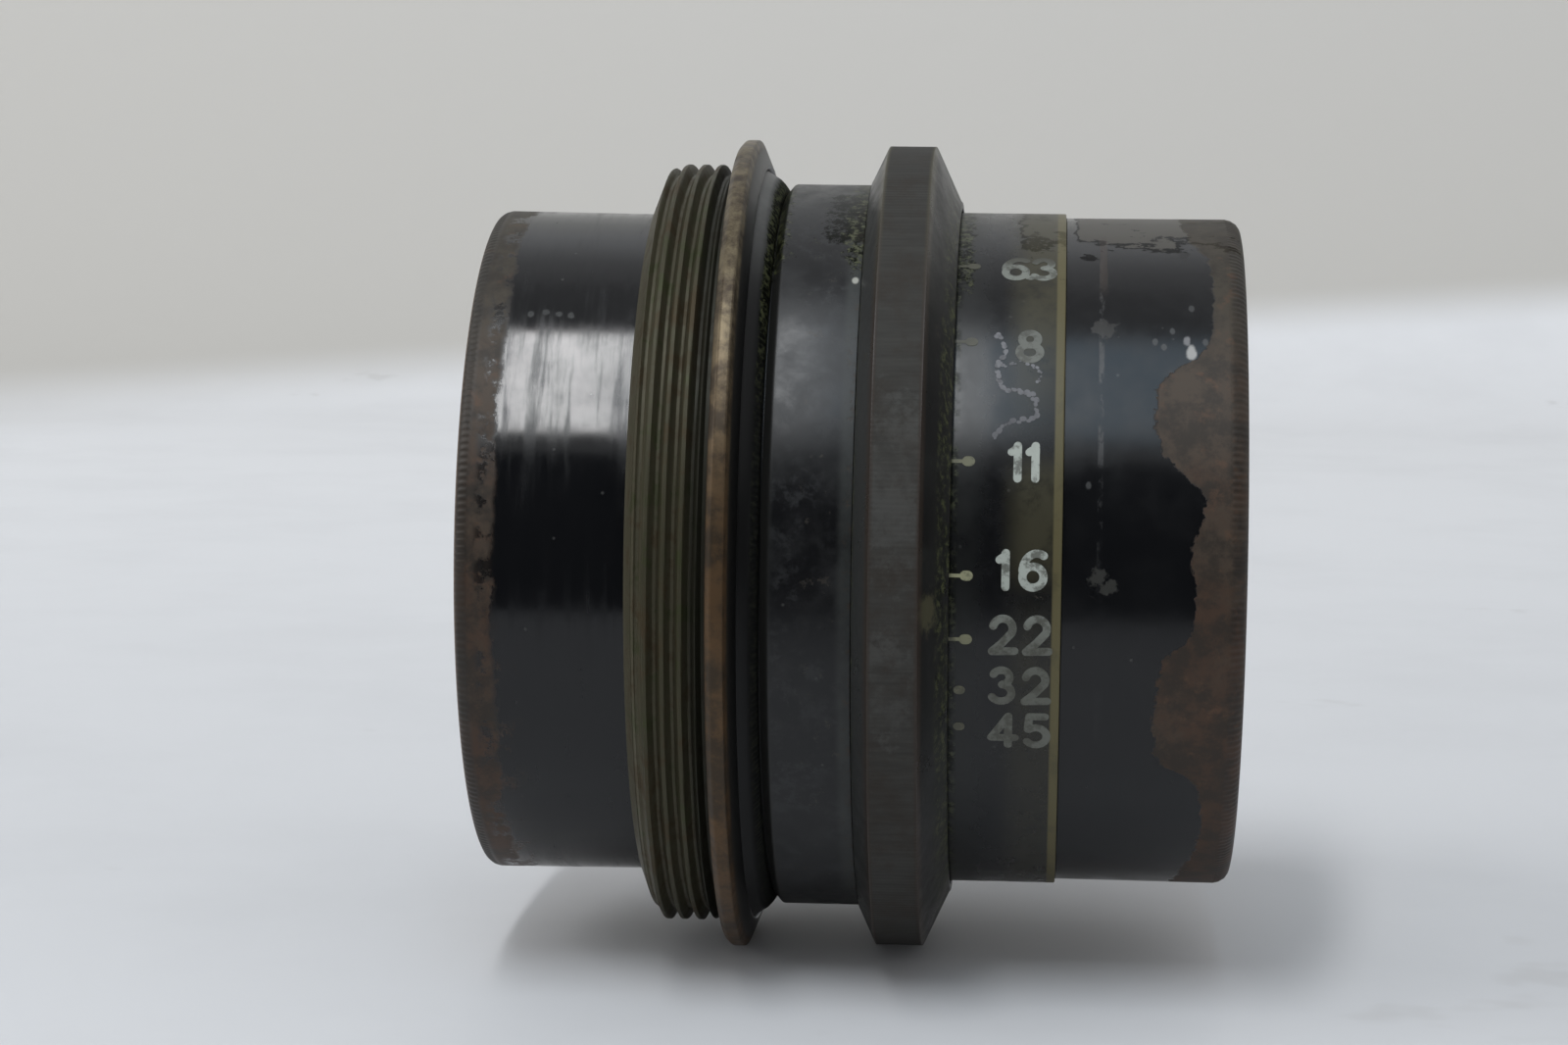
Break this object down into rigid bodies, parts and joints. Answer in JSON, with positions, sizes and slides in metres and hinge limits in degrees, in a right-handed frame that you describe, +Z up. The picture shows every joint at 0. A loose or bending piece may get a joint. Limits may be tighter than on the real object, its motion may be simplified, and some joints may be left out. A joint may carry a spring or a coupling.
{
  "type": "enlarger lens",
  "caption": "Black-lacquered brass enlarger lens in a turned barrel, with a milled aperture ring that works a leaf iris, an engraved stop scale, and a flanged screw mount.",
  "frame": {"origin": "middle of the length, on the surface that the lens lies on (the lowest point of the mount flange's rim)", "axes": "+X along the optical axis towards the front glass, +Z up, with the lens lying on its side"},
  "size_m": [0.0436, 0.048, 0.048],
  "materials": {
    "black_lacquer": "gloss black lacquer over brass, scratched, worn brown at the rims",
    "mount_brass": "tarnished bare brass thread and rim, satin black cone",
    "ring_bronze": "dark oxidised milled land between black bevels, worn at the edges",
    "inner_brass": "plain machined",
    "screw_steel": "turned",
    "leaf_steel": "blackened spring steel",
    "matt_black": "matt black, blacked inside surfaces",
    "glass": "polished optical glass"
  },
  "bodies": {
    "lens_barrel": {"rear_cell": "black_lacquer", "main_barrel": "black_lacquer", "scale_barrel": "black_lacquer", "front_cell": "black_lacquer", "mount_flange": "mount_brass", "iris_base_plate": "matt_black", "iris_retaining_ring": "matt_black", "front_retaining_ring": "matt_black", "second_retaining_ring": "matt_black", "rear_retaining_ring": "matt_black", "front_element": "glass", "second_element": "glass", "rear_flint_element": "glass", "rear_crown_element": "glass"},
    "aperture_ring": {"iris_ring": "ring_bronze", "drive_screw": "screw_steel", "cam_ring": "inner_brass"},
    "iris_leaf_01": {"leaf_01": "leaf_steel"},
    "iris_leaf_02": {"leaf_02": "leaf_steel"},
    "iris_leaf_03": {"leaf_03": "leaf_steel"},
    "iris_leaf_04": {"leaf_04": "leaf_steel"},
    "iris_leaf_05": {"leaf_05": "leaf_steel"},
    "iris_leaf_06": {"leaf_06": "leaf_steel"},
    "iris_leaf_07": {"leaf_07": "leaf_steel"},
    "iris_leaf_08": {"leaf_08": "leaf_steel"},
    "iris_leaf_09": {"leaf_09": "leaf_steel"},
    "iris_leaf_10": {"leaf_10": "leaf_steel"},
    "iris_leaf_11": {"leaf_11": "leaf_steel"},
    "iris_leaf_12": {"leaf_12": "leaf_steel"}
  },
  "joints": [
    {"name": "aperture_turn", "type": "hinge", "parent": "lens_barrel", "child": "aperture_ring", "pos_m": [0.0023, 0, 0.02398], "axis": [1, 0, 0], "range_deg": [-62, 21.1]},
    {"name": "leaf_01_pivot", "type": "hinge", "parent": "lens_barrel", "child": "iris_leaf_01", "pos_m": [-0.0008, 0.017, 0.02398], "axis": [1, 0, 0], "range_deg": [-29.8, 10.2]},
    {"name": "leaf_02_pivot", "type": "hinge", "parent": "lens_barrel", "child": "iris_leaf_02", "pos_m": [-0.0008, 0.01472, 0.01548], "axis": [1, 0, 0], "range_deg": [-29.8, 10.2]},
    {"name": "leaf_03_pivot", "type": "hinge", "parent": "lens_barrel", "child": "iris_leaf_03", "pos_m": [-0.0008, 0.0085, 0.00926], "axis": [1, 0, 0], "range_deg": [-29.8, 10.2]},
    {"name": "leaf_04_pivot", "type": "hinge", "parent": "lens_barrel", "child": "iris_leaf_04", "pos_m": [-0.0008, 0, 0.00698], "axis": [1, 0, 0], "range_deg": [-29.8, 10.2]},
    {"name": "leaf_05_pivot", "type": "hinge", "parent": "lens_barrel", "child": "iris_leaf_05", "pos_m": [-0.0008, -0.0085, 0.00926], "axis": [1, 0, 0], "range_deg": [-29.8, 10.2]},
    {"name": "leaf_06_pivot", "type": "hinge", "parent": "lens_barrel", "child": "iris_leaf_06", "pos_m": [-0.0008, -0.01472, 0.01548], "axis": [1, 0, 0], "range_deg": [-29.8, 10.2]},
    {"name": "leaf_07_pivot", "type": "hinge", "parent": "lens_barrel", "child": "iris_leaf_07", "pos_m": [-0.0008, -0.017, 0.02398], "axis": [1, 0, 0], "range_deg": [-29.8, 10.2]},
    {"name": "leaf_08_pivot", "type": "hinge", "parent": "lens_barrel", "child": "iris_leaf_08", "pos_m": [-0.0008, -0.01472, 0.03248], "axis": [1, 0, 0], "range_deg": [-29.8, 10.2]},
    {"name": "leaf_09_pivot", "type": "hinge", "parent": "lens_barrel", "child": "iris_leaf_09", "pos_m": [-0.0008, -0.0085, 0.0387], "axis": [1, 0, 0], "range_deg": [-29.8, 10.2]},
    {"name": "leaf_10_pivot", "type": "hinge", "parent": "lens_barrel", "child": "iris_leaf_10", "pos_m": [-0.0008, 0, 0.04098], "axis": [1, 0, 0], "range_deg": [-29.8, 10.2]},
    {"name": "leaf_11_pivot", "type": "hinge", "parent": "lens_barrel", "child": "iris_leaf_11", "pos_m": [-0.0008, 0.0085, 0.0387], "axis": [1, 0, 0], "range_deg": [-29.8, 10.2]},
    {"name": "leaf_12_pivot", "type": "hinge", "parent": "lens_barrel", "child": "iris_leaf_12", "pos_m": [-0.0008, 0.01472, 0.03248], "axis": [1, 0, 0], "range_deg": [-29.8, 10.2]}
  ],
  "couplings": [
    {"joint": "leaf_01_pivot", "follows": "aperture_turn", "ratio": 0.48},
    {"joint": "leaf_02_pivot", "follows": "aperture_turn", "ratio": 0.48},
    {"joint": "leaf_03_pivot", "follows": "aperture_turn", "ratio": 0.48},
    {"joint": "leaf_04_pivot", "follows": "aperture_turn", "ratio": 0.48},
    {"joint": "leaf_05_pivot", "follows": "aperture_turn", "ratio": 0.48},
    {"joint": "leaf_06_pivot", "follows": "aperture_turn", "ratio": 0.48},
    {"joint": "leaf_07_pivot", "follows": "aperture_turn", "ratio": 0.48},
    {"joint": "leaf_08_pivot", "follows": "aperture_turn", "ratio": 0.48},
    {"joint": "leaf_09_pivot", "follows": "aperture_turn", "ratio": 0.48},
    {"joint": "leaf_10_pivot", "follows": "aperture_turn", "ratio": 0.48},
    {"joint": "leaf_11_pivot", "follows": "aperture_turn", "ratio": 0.48},
    {"joint": "leaf_12_pivot", "follows": "aperture_turn", "ratio": 0.48}
  ]
}
